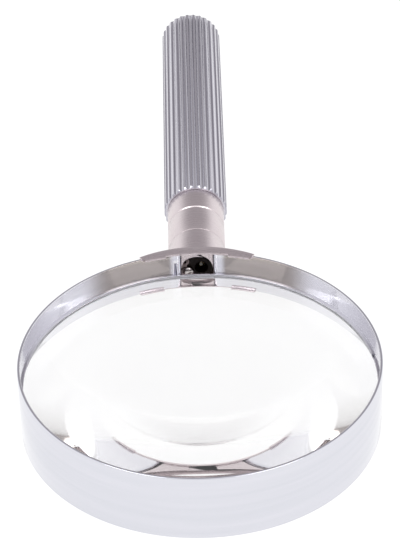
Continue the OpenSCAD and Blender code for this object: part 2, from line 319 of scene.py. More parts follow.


# %% [markdown]
# ## Patterns that drive a finish
# No real surface is even. A fine pattern is fixed to each piece, and the same pattern can
# change its colour, its roughness and its relief together, as brushing or wear does. On two
# pieces the tone also depends on the place, as a painted reflection, and zones say where.

# %% A pattern, what it drives, and zones
def grain(tree, size, detail=2, rough=0.5):
    """Noise that is fixed to the piece. The size is that of a grain along x, y and z, in mm."""
    place = add(tree, "TexCoord").outputs["Object"]
    scaled = add(tree, "Mapping", values={"Scale": [1 / (s * MM) for s in size]},
                 links={"Vector": place})
    return add(tree, "TexNoise", values={"Scale": 1, "Detail": detail, "Roughness": rough},
               links={"Vector": scaled.outputs["Vector"]}).outputs["Fac"]


def dress(tree, shader, pattern, tones=None, roughness=None, height=None):
    """Lets a pattern drive the colour from one tone to another, the roughness from one value
    to another, and a relief whose height is in mm, each only where it is given."""
    if tones:
        mix = add(tree, "Mix", TWO_COLOURS, {"A": colour(tones[0]), "B": colour(tones[1])},
                  {"Factor": pattern})
        tree.links.new(mix.outputs["Result"], shader.inputs["Base Color"])
    if roughness:
        spread = add(tree, "MapRange", values={**MIDDLE, "To Min": roughness[0],
                     "To Max": roughness[1]}, links={"Value": pattern})
        tree.links.new(spread.outputs["Result"], shader.inputs["Roughness"])
    if height:
        bump = add(tree, "Bump", values={"Strength": 1, "Distance": height * MM},
                   links={"Height": pattern})
        tree.links.new(bump.outputs["Normal"], shader.inputs["Normal"])


def dress_zones(tree, shader, pattern, zones, tones, zone_tones):
    """Colours a piece by a pattern between two tones, and in its zones between two others.
    A zone is a measure, where it starts to count and where it is full, both in mm."""
    inside = None
    for measure, start, full in zones:
        zone = add(tree, "MapRange", SOFT_STEP, {"From Min": start * MM, "From Max": full * MM},
                   {"Value": measure}).outputs["Result"]
        inside = zone if inside is None else add(
            tree, "Math", {"operation": "MAXIMUM"}, links={0: inside, 1: zone}).outputs["Value"]
    pairs = [add(tree, "Mix", TWO_COLOURS, {"A": colour(first), "B": colour(second)},
                 {"Factor": pattern}).outputs["Result"] for first, second in (tones, zone_tones)]
    mix = add(tree, "Mix", TWO_COLOURS, links={"Factor": inside, "A": pairs[0], "B": pairs[1]})
    tree.links.new(mix.outputs["Result"], shader.inputs["Base Color"])


# %% [markdown]
# ## Chrome
# The ring is bright decorative chrome over nickel on polished steel. Chrome is a slightly
# blue mirror. What shows that it is real metal is faint: a long soft waviness from polishing
# and a trace of handling that dulls it in places. A plain mirror without them looks drawn.

# %% Finish: chrome plate on polished steel
# To the eye: a cool mirror, so nearly all its look is what stands round it.
POLISHING_WAVES, WAVE_HEIGHT = (14, 14, 9), 0.01
chrome, tree, shader = finish("bright_chrome_plate", Metallic=1.0)
rolled = grain(tree, (70, 70, 2.6), detail=2)
clearer = add(tree, "MapRange", values=MIDDLE, links={"Value": rolled}).outputs["Result"]
dress(tree, shader, clearer, tones=("#d6d7de", "#dcdce3"))
dress(tree, shader, grain(tree, (9, 9, 6), detail=4), roughness=(0.03, 0.075))
dress(tree, shader, grain(tree, POLISHING_WAVES, detail=0), height=WAVE_HEIGHT)

# %% Finish: the chrome inside the ring
# The wall inside the ring mirrors the dark side of a real room, and this studio has none. So
# that reflection is painted into the plate's colour, darker and warmer: above the lens, for some
# 38 degrees to each side of the handle. The zones are where it is bright: the far sides, the two
# bends, and below.
FAR_SIDES, BENT_ENDS, BELOW_LENS = (25, 34), (8.5, 6.5), (13.6, 12.6)
inside_chrome_painted_reflection, tree, shader = finish("chrome_plate_inside_painted_reflection", Metallic=1.0)
place = add(tree, "SeparateXYZ", links={"Vector": add(tree, "TexCoord").outputs["Object"]})
sideways = add(tree, "Math", {"operation": "ABSOLUTE"},
               links={0: place.outputs["X"]}).outputs["Value"]
rolled = grain(tree, (50, 50, 2.2), detail=2)
dress_zones(tree, shader, rolled, [(sideways, *FAR_SIDES), (sideways, *BENT_ENDS),
            (place.outputs["Z"], *BELOW_LENS)], ("#9c9592", "#ada6a2"), ("#dedde4", "#ececf0"))
dress(tree, shader, rolled, roughness=(0.05, 0.1))
dress(tree, shader, grain(tree, POLISHING_WAVES, detail=0), height=WAVE_HEIGHT)

# %% Finish: drawn spring steel
# Spring wire keeps the fine lines of its drawing die.
spring_wire, tree, shader = finish("drawn_spring_steel", Metallic=1.0)
dress(tree, shader, grain(tree, (1.5, 1.5, 0.12), detail=3),
      tones=("#c9c8ce", "#dedde3"), roughness=(0.1, 0.22))

# %% [markdown]
# ## Satin nickel
# The neck and the saddle are plated too, but over a surface that was brushed first. Nickel is
# warmer than chrome. The brushing runs round a turned part, so the lines are far closer
# together along the handle than round it.

# %% Finish: satin nickel plate
def satin_nickel(name, size):
    """Brushed nickel; the size is that of one brush line along x, y and z, in mm."""
    material, tree, shader = finish(name, Metallic=1.0)
    dress(tree, shader, grain(tree, size, detail=3, rough=0.6),
          tones=("#d4c9cb", "#d8cecf"), roughness=(0.24, 0.36), height=0.0002)
    return material


# Real lines are some 0.03 mm apart; these are drawn coarser so that a trace of them shows.
turned_nickel = satin_nickel("satin_nickel_turned", (16, 0.12, 16))
saddle_nickel = satin_nickel("satin_nickel_brushed", (3, 0.12, 0.12))

# %% [markdown]
# ## Fluted aluminium
# The grip was drawn through a die as a fluted tube, so its fine lines run lengthwise. It is
# anodised clear: a thin hard glassy skin over a grey metal. Its flanks are painted darker than
# the crests and flute bottoms, a painted reflection of a dark room that gives its many fine lines.

# %% Finish: drawn and anodised aluminium
CREST_PAINTED_BRIGHT, FLUTE_BOTTOM_PAINTED_BRIGHT = (9.1, 9.36), (8.95, 8.83)
fluted_aluminium, tree, shader = finish("anodised_drawn_aluminium_painted_reflection", Metallic=1.0,
                                        Coat_Weight=0.15, Coat_Roughness=0.15)
drawn = grain(tree, (0.16, 14, 0.16), detail=3, rough=0.6)
from_axis = add(tree, "VectorMath", {"operation": "SUBTRACT"}, {1: (0, 0, axis_z * MM)},
                {0: add(tree, "TexCoord").outputs["Object"]}).outputs["Vector"]
across_axis = add(tree, "VectorMath", {"operation": "MULTIPLY"}, {1: (1, 0, 1)},
                  {0: from_axis}).outputs["Vector"]
radius = add(tree, "VectorMath", {"operation": "LENGTH"},
             links={0: across_axis}).outputs["Value"]
# Painted reflection: crests and flute bottoms get the bright tone, the flanks between them the
# painted darker one.
dress_zones(tree, shader, drawn, [(radius, *CREST_PAINTED_BRIGHT), (radius, *FLUTE_BOTTOM_PAINTED_BRIGHT)],
            ("#acaab4", "#b4b2bc"), ("#cbc9d0", "#d0ced5"))
dress(tree, shader, drawn, roughness=(0.2, 0.3), height=0.001)

# %% [markdown]
# ## Glass
# The lens is crown glass. Light bends in it by an index of 1.517, and nothing else is needed:
# the magnifying, the bright rim and the dark crescent near the edge all follow from the shape.
# A lens that is used has a little skin grease on it, which only shows as a very slight haze.

# %% Finish: crown glass, polished and ground
CROWN_IOR = 1.517


def crown_glass(name, smear_low, smear_high, tint="#ffffff"):
    """Clear glass with a faint smear that makes it rough from a low to a high value."""
    material, tree, shader = finish(name, IOR=CROWN_IOR, Transmission_Weight=1.0,
                                    Base_Color=colour(tint))
    dress(tree, shader, grain(tree, (11, 6, 11), detail=3), roughness=(smear_low, smear_high))
    return material


lens_glass = crown_glass("polished_crown_glass", 0.0, 0.004)
lamp_glass = crown_glass("blown_lamp_glass", 0.0, 0.02, "#fbfaf6")

# The edge of a lens is ground with coarse grit and left matt. It looks pale grey.
ground_glass, tree, shader = finish("ground_lens_edge", Roughness=0.9, IOR=CROWN_IOR)
dress(tree, shader, grain(tree, (0.3, 0.3, 0.3), detail=3), tones=("#c9c8cc", "#dddce0"))

# %% [markdown]
# ## The dark insert and the small metal parts
# The insert is moulded phenolic resin, a brown-black plastic with fine filler specks. The
# contacts are brass that has dulled with age. The screw, the pin and the cells' caps are
# nickelled, and so are the tag and the eyelet, whose plating has gone dull and brown.

# %% Finishes: phenolic, brass and nickelled steel
phenolic, tree, shader = finish("moulded_phenolic", IOR=1.6, Specular_IOR_Level=0.15)
dress(tree, shader, grain(tree, (0.35, 0.35, 0.35), detail=3),
      tones=("#0d0706", "#1e100b"), roughness=(0.5, 0.65), height=0.006)

brass, tree, shader = finish("aged_contact_brass", Metallic=1.0)
dress(tree, shader, grain(tree, (0.8, 0.8, 0.8), detail=4),
      tones=("#a98a4c", "#dcc07a"), roughness=(0.42, 0.2))

nickelled, tree, shader = finish("nickelled_steel", Metallic=1.0)
dress(tree, shader, grain(tree, (0.5, 0.5, 0.5), detail=4),
      tones=("#b9b2b0", "#dcd7d6"), roughness=(0.32, 0.12))

tarnished, tree, shader = finish("tarnished_nickel", Metallic=1.0)
dress(tree, shader, grain(tree, (1.1, 1.1, 1.1), detail=4),
      tones=("#5c4f4b", "#93878a"), roughness=(0.5, 0.3))

# %% [markdown]
# ## Card and cell jackets
# Two dry cells lie in a liner of rolled card. Card is soft and fibrous. A cell's jacket is
# printed foil: here one plain dark blue-grey band with a paler band at the end of the cap.

# %% Finishes: liner card and cell jacket
card, tree, shader = finish("rolled_liner_card", Roughness=0.85)
dress(tree, shader, grain(tree, (0.25, 1.6, 0.25), detail=4, rough=0.7),
      tones=("#a8875c", "#c4a67a"), height=0.03)

PRINT_EDGE, MOST_WORN = 0.05 * MM, 0.25


def jacket(name, band_end):
    """Printed foil; the pale band ends at this place along y, in metres."""
    material, tree, shader = finish(name, Metallic=0.6, Roughness=0.28, Coat_Weight=0.4,
                                    Coat_Roughness=0.12)
    place = add(tree, "SeparateXYZ", links={"Vector": add(tree, "TexCoord").outputs["Object"]})
    edge = add(tree, "MapRange", values={"From Min": band_end - PRINT_EDGE,
               "From Max": band_end + PRINT_EDGE}, links={"Value": place.outputs["Y"]})
    bands = add(tree, "Mix", TWO_COLOURS, {"A": colour("#b8bcc0"), "B": colour("#3d4a57")},
                {"Factor": edge.outputs["Result"]})
    rubbed = add(tree, "MapRange", values={**MIDDLE, "To Max": MOST_WORN},
                 links={"Value": grain(tree, (3, 3, 3), detail=4)})
    worn = add(tree, "Mix", TWO_COLOURS, {"B": colour("#8d949b")},
               {"Factor": rubbed.outputs["Result"], "A": bands.outputs["Result"]})
    tree.links.new(worn.outputs["Result"], shader.inputs["Base Color"])
    return material

# %% [markdown]
# ## The lens ring
# A strip of 0.8 mm steel is rolled into a hoop. Its ends don't meet: they are bent outwards
# through a small radius and go into the saddle. The section of the strip is drawn once, with
# rounded rims, and spun three times: round the lens, round one bend, and round the other.
# Near the saddle the strip is lower, because the saddle's lips lap over its rims there.

# %% Measures of the strip
wall = 0.8
INSIDE = ring_r - 0.75 * wall  # faces whose middle is nearer the centre are on the inner wall
inner_r = ring_r - wall
gap_half = 4.5
bend_r = 1.5
lip = 0.5
bend_x = gap_half + bend_r
bend_y = sqrt((inner_r + bend_r) ** 2 - bend_x ** 2)
bend_a = asin(bend_x / (inner_r + bend_r))
lip_a = radians(19.0)
flange_end = ring_r + 2.0
snap_heights = [tuple(corner.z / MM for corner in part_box(node))
                for node in ("upper_snap_ring", "lower_snap_ring")]
print(f"bends at x = {bend_x:.1f}, station {bend_y:.2f} mm; "
      f"the lips end at {degrees(lip_a):.1f} degrees")


def on_ring(r, a, z):
    """A point at a radius and an angle from the handle's side, towards +X, at a height in mm."""
    return Vector((r * sin(a) * MM, centre_y + r * cos(a) * MM, z * MM))


# %% The strip's section, spun round the lens
# Blender's spin turns clockwise about its axis, so UP means clockwise as seen from above.
RIM_ROUNDING = 0.22
BACK_STEPS, ROUND_STEPS, BEND_STEPS = 8, 180, 16
UP, DOWN = (0, 0, 1), (0, 0, -1)
centre = tuple(ring_centre)
bend_centres = [(side * bend_x * MM, centre_y + bend_y * MM, 0) for side in (1, -1)]
section = {"point": lambda r, z: on_ring(r, bend_a, z)}
groove_heights = sorted([z for pair in snap_heights for z in pair], reverse=True)

ring = outline("lens_ring_chromed", [
    (ring_r, lip, RIM_ROUNDING), (ring_r, ring_h - lip, RIM_ROUNDING),
    (inner_r, ring_h - lip, RIM_ROUNDING), *[(inner_r, z) for z in groove_heights],
    (inner_r, lip, RIM_ROUNDING)], section)


def step_rims(rise):
    """Draws the section on in place and moves its rims up and down, away from mid-height."""
    bpy.ops.mesh.extrude_region_move(TRANSFORM_OT_translate={"value": (0, 0, 0)})
    mesh = bmesh.from_edit_mesh(ring.data)
    end = {v.index for v in mesh.verts if v.select}
    for sign in (1, -1):
        pick(lambda v: v.index in end and sign * (v.co.z / MM - axis_z) > 0.7 * axis_z)
        bpy.ops.transform.translate(value=(0, 0, sign * rise * MM))
    pick(lambda v: v.index in end)


bpy.ops.mesh.spin(steps=BACK_STEPS, angle=lip_a - bend_a, center=centre, axis=UP)
step_rims(lip)
bpy.ops.mesh.spin(steps=ROUND_STEPS, angle=2 * pi - 2 * lip_a, center=centre, axis=UP)
step_rims(-lip)
bpy.ops.mesh.spin(steps=BACK_STEPS, angle=lip_a - bend_a, center=centre, axis=UP)
pick_all()
bpy.ops.mesh.remove_doubles(threshold=TINY)
bpy.ops.mesh.normals_make_consistent(inside=False)

# %% The grooves for the two snap rings
GROOVE = 0.14
pick(lambda f: hypot(f.calc_center_median().x, f.calc_center_median().y - centre_y) / MM
     < inner_r + 0.02 and any(low < f.calc_center_median().z / MM < high
                              for low, high in snap_heights), "faces")
bpy.ops.mesh.extrude_region_shrink_fatten(TRANSFORM_OT_shrink_fatten={"value": -GROOVE * MM})

# %% The two bends and their straight ends
for side, bend_centre in zip((1, -1), bend_centres):
    end = [on_ring(r, side * bend_a, 0) for r in (inner_r - 1, ring_r + 1)]
    along = (end[1] - end[0]).normalized()
    across = along.cross(Vector(UP))
    pick(lambda v: abs((v.co - end[0]).dot(across)) < 0.01 * MM and side * v.co.x > 0
         and v.co.y > centre_y)
    bpy.ops.mesh.spin(steps=BEND_STEPS, angle=pi / 2 - bend_a, center=bend_centre,
                      axis=(0, 0, side))
    bpy.ops.mesh.extrude_region_move(TRANSFORM_OT_translate={
        "value": (0, (flange_end - bend_y) * MM, 0)})
    bpy.ops.mesh.edge_face_add()
close_up()
smooth(ring, 50)
fit(ring, "lens_ring", chrome)
# The inner wall gets the chrome whose colour carries the painted reflection of a room.
ring.data.materials.append(inside_chrome_painted_reflection)
for polygon in ring.data.polygons:
    middle = polygon.center
    if hypot(middle.x, middle.y - centre_y) / MM < INSIDE:
        polygon.material_index = 1

# %% [markdown]
# ## The lens
# Both faces are parts of a sphere with a radius of 200 mm. Points along its arc draw each
# face from the axis out, and the whole section is then spun about the lens's axis. The
# quads are small, because a mirror or a lens shows every flat.

# %% The lens
lens_low, lens_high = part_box("lens")
lens_r = (lens_high.x - lens_low.x) / 2 / MM
FACE_R = 200
FACE_STEPS, LENS_STEPS = 36, 192
EDGE_CHAMFER = 0.25
sag = FACE_R - sqrt(FACE_R ** 2 - lens_r ** 2)
top, bottom = lens_high.z / MM, lens_low.z / MM


def face(apex, sign):
    """The corners of one face of the section, from the axis out, in mm."""
    reach = asin((lens_r - EDGE_CHAMFER) / FACE_R)
    return [(FACE_R * sin(reach * i / FACE_STEPS),
             apex - sign * FACE_R * (1 - cos(reach * i / FACE_STEPS)))
            for i in range(FACE_STEPS + 1)]


lens = turned("lens_crown_glass", [
    *face(top, 1), (lens_r, top - sag - EDGE_CHAMFER), (lens_r, bottom + sag + EDGE_CHAMFER),
    *reversed(face(bottom, -1))], RING, steps=LENS_STEPS, closed=False)
smooth(lens, 20)
fit(lens, "lens", lens_glass)
lens.data.materials.append(ground_glass)
for polygon in lens.data.polygons:
    if hypot(polygon.center.x, polygon.center.y - centre_y) / MM > lens_r - 0.9 * EDGE_CHAMFER:
        polygon.material_index = 1
print(f"lens: {2 * lens_r:.1f} mm across, {top - bottom:.1f} mm thick, faces sag {sag:.2f} mm")

# %% [markdown]
# ## The snap rings
# Two rings of flat spring wire hold the lens from above and below. Each is split, and its
# ends stand a little apart. A section with rounded corners is spun almost all the way round.

# %% The snap rings
SPLIT_A, SNAP_REACH, SNAP_SUNK = radians(80), 0.5, 0.12
split_half = asin(1 / inner_r)
for node, (low, high) in zip(("upper_snap_ring", "lower_snap_ring"), snap_heights):
    snap = outline(node + "_wire", [
        (inner_r - SNAP_REACH, low, 0.15), (inner_r - SNAP_REACH, high, 0.15),
        (inner_r + SNAP_SUNK, high, 0.12), (inner_r + SNAP_SUNK, low, 0.12)],
        {"point": lambda r, z: on_ring(r, SPLIT_A + split_half, z)})
    bpy.ops.mesh.spin(steps=ROUND_STEPS, angle=2 * pi - 2 * split_half, center=centre, axis=UP)
    for a in (SPLIT_A + split_half, SPLIT_A - split_half):
        across = (on_ring(1, a, 0) - on_ring(0, a, 0)).cross(Vector(UP)).normalized()
        middle = on_ring(inner_r, a, 0)
        pick(lambda v: abs((v.co - middle).dot(across)) < 0.01 * MM
             and (v.co - middle).length < 0.5 * ring_r * MM)
        bpy.ops.mesh.edge_face_add()
    close_up()
    smooth(snap, 50)
    fit(snap, node, spring_wire)

# %% [markdown]
# ## The saddle
# A block between the ring and the neck: its front follows the ring, and its back is a tighter
# curve. Two arcs are drawn, bridged into a strip, and raised in three layers. The thin top
# and bottom layers are then drawn forwards over the strip's rims, and at both ends further
# in, as claws. The arched slot for the lamp's light is cut through the middle.

# %% The saddle's body from two arcs
SADDLE_R = 33
FRONT_HALF, BACK_HALF = 15.96, 16.5
CLAW_IN, CLAW_A, SADDLE_STEPS = 0.8, 10.5, 60
ARCH_HALF, ARCH_TOP, LAND = 4.5, 8.9, 0.3
_, saddle_back = stations("saddle")
saddle_centre = (0, centre_y + (saddle_back - SADDLE_R) * MM, 0)
front_half_a, back_half_a = asin(FRONT_HALF / ring_r), asin(BACK_HALF / SADDLE_R)

saddle = outline("saddle_nickelled", [(0, 0)], {"point": lambda r, z: on_ring(
    ring_r, front_half_a, z)}, closed=False)
bpy.ops.mesh.spin(steps=SADDLE_STEPS, angle=2 * front_half_a, center=centre, axis=DOWN)
leave()
back = outline("saddle_back_arc", [(0, 0)], {"point": lambda r, z: Vector((
    SADDLE_R * sin(back_half_a) * MM,
    saddle_centre[1] + SADDLE_R * cos(back_half_a) * MM, z * MM))}, closed=False)
bpy.ops.mesh.spin(steps=SADDLE_STEPS, angle=2 * back_half_a, center=saddle_centre, axis=DOWN)
leave()
only(saddle)
back.select_set(True)
bpy.ops.object.join()
edit("EDGE")
pick_all()
bpy.ops.mesh.bridge_edge_loops()
pick_all()
for layer in (lip, ring_h - 2 * lip, lip):
    bpy.ops.mesh.extrude_region_move(TRANSFORM_OT_translate={"value": (0, 0, layer * MM)})
pick_all()
bpy.ops.mesh.remove_doubles(threshold=TINY)
bpy.ops.mesh.normals_make_consistent(inside=False)


# %% The lips and the claws
CLAW_SLANT, LIP_SLANT, SLANT_BACK = 0.62, 0.33, 0.3


def lip_faces(radius, least_a=0):
    """Picks the front faces of the top and bottom layers at a radius, past an angle."""
    def test(f):
        middle = f.calc_center_median()
        z = middle.z / MM
        a = degrees(abs(asin(max(-1, min(1, middle.x / MM / radius)))))
        return (abs(hypot(middle.x, middle.y - centre_y) / MM - radius) < 0.05
                and (z < lip or z > ring_h - lip) and abs(f.normal.z) < 0.5 and a > least_a)
    pick(test, "faces")


def slant_ends(radius, shift):
    """Moves the lips' outer corners sideways, so that their ends run on the slant."""
    for side in (1, -1):
        pick(lambda v: abs(hypot(v.co.x, v.co.y - centre_y) / MM - radius) < 0.05
             and side * v.co.x / MM > radius * sin(front_half_a) - 0.02
             and (v.co.z / MM < lip + 0.01 or v.co.z / MM > ring_h - lip - 0.01))
        bpy.ops.transform.translate(value=(-side * shift * MM, shift * SLANT_BACK * MM, 0))


lip_faces(ring_r)
bpy.ops.mesh.extrude_region_shrink_fatten(TRANSFORM_OT_shrink_fatten={"value": wall * MM})
lip_faces(inner_r, CLAW_A)
bpy.ops.mesh.extrude_region_shrink_fatten(TRANSFORM_OT_shrink_fatten={"value": CLAW_IN * MM})
slant_ends(inner_r - CLAW_IN, CLAW_SLANT)
slant_ends(inner_r, LIP_SLANT)
close_up()

# %% The arched slot, the land between the bent ends and the slits for them
front, behind = ring_r - 0.5, ring_r + 4
FREE = 0.02
under_lip = axis_z - lip
arch = block((-ARCH_HALF, front, -ARCH_TOP), (ARCH_HALF, behind, ARCH_TOP), "arch")
edit()
pick(lambda e: abs((e.verts[0].co - e.verts[1].co).normalized().y) > 0.9, "edges")
bpy.ops.mesh.bevel(offset=(ARCH_HALF - FREE) * MM, segments=14, affect="EDGES")
leave()
land = block((-ARCH_HALF, ring_r - FREE, -under_lip), (ARCH_HALF, ring_r + LAND, under_lip))
slits = [block((min(x), ring_r - FREE, -under_lip), (max(x), flange_end + FREE, under_lip))
         for side in (1, -1) for x in [(side * (gap_half - FREE), side * (gap_half + wall + FREE))]]
reliefs = [block((min(x), ring_r - 0.5, -under_lip), (max(x), bend_y - 0.1, under_lip))
           for side in (1, -1) for x in [(side * gap_half, side * (bend_x - 0.15))]]
cut(saddle, arch, land, *slits, *reliefs)
soften(saddle, 0.13)
fit(saddle, "saddle", saddle_nickel)

# %% [markdown]
# ## The neck
# Three turned tubes make the neck: the socket that is brazed to the saddle, the switch ring
# that turns on its spigot, and the collar behind it with a thread for the grip. Every
# turned edge has a small chamfer, and that is where the bright lines across the neck come from.

# %% The neck socket
PLAY = 0.1  # between parts that turn on each other
neck_r = (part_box("switch_ring")[1].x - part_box("switch_ring")[0].x) / 2 / MM
socket_end = stations("switch_ring")[0] - PLAY
switch_end = stations("switch_ring")[1] + PLAY
collar_end = stations("grip_barrel")[0] - PLAY
grip_end = stations("grip_barrel")[1]
insert_front, insert_back = stations("lamp_insert")
BORE_R, SPIGOT_R, THREAD_R, CELL_ROOM_R, BOSS_R = 6.2, 6.9, 7.9, 7.3, 5.5
EDGE, LEDGE, LEDGE_LENGTH, SPIGOT_SHORT = 0.12, 0.4, 0.8, 0.3

socket = turned("neck_socket_turned", [
    (BORE_R + LEDGE, ring_r), (neck_r, ring_r), (neck_r, socket_end, EDGE),
    (SPIGOT_R, socket_end), (SPIGOT_R, switch_end - SPIGOT_SHORT, EDGE),
    (BORE_R, switch_end - SPIGOT_SHORT), (BORE_R, insert_front), (BORE_R - LEDGE, insert_front),
    (BORE_R - LEDGE, insert_front - LEDGE_LENGTH), (BORE_R + LEDGE, insert_front - LEDGE_LENGTH)])
bpy.ops.object.select_all(action="DESELECT")
bpy.ops.mesh.primitive_cylinder_add(vertices=240, radius=SADDLE_R * MM, depth=2 * ring_h * MM,
                                    location=(0, saddle_centre[1], axis_z * MM))
saddle_hollow = bpy.context.object
pin_y = (stations("switch_pin")[0] + stations("switch_pin")[1]) / 2
SLOT_HALF_LENGTH, SLOT_DEEP, SLOT_RIGHT, SLOT_LEFT = 0.9, 12, 7.6, 9.8
pin_slot = block((0, pin_y - SLOT_HALF_LENGTH, -SLOT_DEEP),
                 (SLOT_RIGHT, pin_y + SLOT_HALF_LENGTH, 0), "pin_slot")
edit()
pick(lambda v: v.co.z / MM < axis_z - SLOT_DEEP / 2 and v.co.x < MM)
bpy.ops.transform.translate(value=(-SLOT_LEFT * MM, 0, 0))
leave()
cut(socket, saddle_hollow, pin_slot)
smooth(socket)
fit(socket, "neck_socket", turned_nickel)

# %% The switch ring with the hole for its pin
REST_PIN_A, PIN_R, PIN_INNER_END = 150, 0.7, 4.2
switch = turned("switch_ring_turned", [
    (SPIGOT_R + 0.05, socket_end + PLAY), (neck_r, socket_end + PLAY, EDGE),
    (neck_r, switch_end - PLAY, EDGE), (SPIGOT_R + 0.05, switch_end - PLAY)])


def radial(clock_a, radius, low, high, station, name):
    """A round bar that points away from the handle's axis at a clock angle, in mm."""
    a = radians(clock_a)
    away = Vector((sin(a), 0, cos(a)))
    bpy.ops.object.select_all(action="DESELECT")
    bpy.ops.mesh.primitive_cylinder_add(
        vertices=32, radius=radius * MM, depth=(high - low) * MM,
        location=Vector((0, centre_y + station * MM, axis_z * MM)) + away * (low + high) / 2 * MM,
        rotation=(0, a, 0))
    obj = bpy.context.object
    obj.name = name
    bpy.ops.object.transform_apply(location=True, rotation=True, scale=True)
    return obj


cut(switch, radial(REST_PIN_A, PIN_R + 0.02, 6, 10, pin_y, "pin_hole"))
smooth(switch)
fit(switch, "switch_ring", turned_nickel)

pin = radial(REST_PIN_A, PIN_R, PIN_INNER_END, neck_r - 0.2, pin_y, "switch_pin_steel")
edit()
pick(lambda f: len(f.verts) > 8, "faces")
bpy.ops.mesh.inset(thickness=0.18 * MM)
bpy.ops.mesh.extrude_region_shrink_fatten(TRANSFORM_OT_shrink_fatten={"value": -0.12 * MM})
close_up()
soften(pin, 0.06)
fit(pin, "switch_pin", nickelled)

# %% The collar with its thread
CHAMFER, PITCH, MALE, WEB = 0.5, 1.0, 7.5, 1.4
GROOVES, FIRST_GROOVE, GROOVE_HALF, GROOVE_DEEP = 6, 0.65, 0.27, 0.28
boss_front = stations("rear_collar")[0]
thread = []
for i in range(GROOVES):
    root = collar_end + (i + FIRST_GROOVE) * PITCH
    thread += [(THREAD_R, root - GROOVE_HALF, 0.05), (THREAD_R - GROOVE_DEEP, root, 0.08),
               (THREAD_R, root + GROOVE_HALF, 0.05)]
collar = turned("rear_collar_threaded", [
    (BOSS_R, boss_front), (BORE_R, boss_front), (BORE_R, switch_end),
    (neck_r - CHAMFER, switch_end, 0.06), (neck_r, switch_end + CHAMFER, 0.12),
    (neck_r, collar_end, 0.1), (THREAD_R, collar_end), *thread,
    (THREAD_R, collar_end + MALE - 0.4, 0.05), (THREAD_R - 0.3, collar_end + MALE, 0.05),
    (CELL_ROOM_R, collar_end + MALE), (CELL_ROOM_R, switch_end + WEB), (BOSS_R, switch_end + WEB)])
fit(collar, "rear_collar", turned_nickel)

# %% [markdown]
# ## The grip
# The barrel is a chamfered tube with 28 flutes. The tube is turned first. One flute cutter is
# modelled once and copied round, and a boolean takes all of them out. Because the flutes run
# out over the chamfers, both ends of the grip get their scalloped edge.

# %% The fluted barrel
GRIP_R, GRIP_CHAMFER = 9.4, 0.5
FLUTES, FLUTE_R, FLUTE_OUT, OVERRUN = 28, 0.75, 0.15, 2
grip_start = collar_end + PLAY
barrel = turned("grip_barrel_fluted", [
    (THREAD_R + 0.05, grip_start, 0.1), (GRIP_R - GRIP_CHAMFER, grip_start, 0.05),
    (GRIP_R, grip_start + GRIP_CHAMFER), (GRIP_R, grip_end - GRIP_CHAMFER),
    (GRIP_R - GRIP_CHAMFER, grip_end, 0.05), (THREAD_R + 0.05, grip_end, 0.1)],
    steps=FLUTES * 4)
bpy.ops.object.select_all(action="DESELECT")
bpy.ops.mesh.primitive_cylinder_add(
    vertices=24, radius=FLUTE_R * MM, depth=(grip_end - grip_start + 2 * OVERRUN) * MM,
    location=(0, centre_y + (grip_start + grip_end) / 2 * MM, (axis_z + GRIP_R + FLUTE_OUT) * MM),
    rotation=(pi / 2, 0, 0))
cutters = bpy.context.object
bpy.ops.object.transform_apply(location=True, rotation=True, scale=True)
edit()
pick_all()
for i in range(1, FLUTES):
    bpy.ops.mesh.duplicate()
    bpy.ops.transform.rotate(value=2 * pi / FLUTES, orient_axis="Y",
                             center_override=HANDLE["centre"])
leave()
cut(barrel, cutters)
soften(barrel, 0.07, angle=30)
fit(barrel, "grip_barrel", fluted_aluminium)

# %% The plug at the grip's end
plug_front, plug_back = stations("end_plug")
PLUG_R, DISH_R, DISH_DEEP = THREAD_R + 0.04, 5.0, 0.15
plug = turned("end_plug_turned", [
    (0, plug_front), (PLUG_R, plug_front), (PLUG_R, plug_back, 0.25),
    (DISH_R + 0.2, plug_back, 0.1), (DISH_R, plug_back - DISH_DEEP, 0.05),
    (0, plug_back - DISH_DEEP)], closed=False)
fit(plug, "end_plug", fluted_aluminium)

# %% [markdown]
# ## The lamp end
# Behind the arched slot sits a dark moulded disc. It holds the lamp in a hole a little right
# of the middle, and a screw with a small tag that brings the current's way back to the metal
# of the neck. All of it shows only through the slot, but there it is what the eye goes to.

# %% The insert
LAMP_X, LAMP_R = 1.2, 1.7
SCREW, EYELET = (-2.9, -1.25), (-3.6, 2.5)
INSERT_R, RECESS_R, RECESS = BORE_R - 0.01, 4.6, 0.25
insert = turned("lamp_insert_moulded", [
    (0, insert_front + RECESS), (RECESS_R, insert_front + RECESS, 0.2),
    (RECESS_R + 0.4, insert_front, 0.1), (INSERT_R, insert_front, 0.2),
    (INSERT_R, insert_back, 0.2), (0, insert_back)],
    closed=False)


def bar(x, z, radius, first, last):
    """A round bar along the handle beside its axis, in mm."""
    return turned("bar", [(0, first), (radius, first), (radius, last), (0, last)],
                  beside(x, z), steps=48, closed=False)


cut(insert, bar(LAMP_X, 0, LAMP_R + 0.3, insert_front - 1, insert_back + 1),
    bar(*SCREW, 0.82, insert_front - 1, insert_front + 4.6),
    bar(*EYELET, 0.77, insert_front - 1, insert_front + 2.1))
soften(insert, 0.1)
fit(insert, "lamp_insert", phenolic)

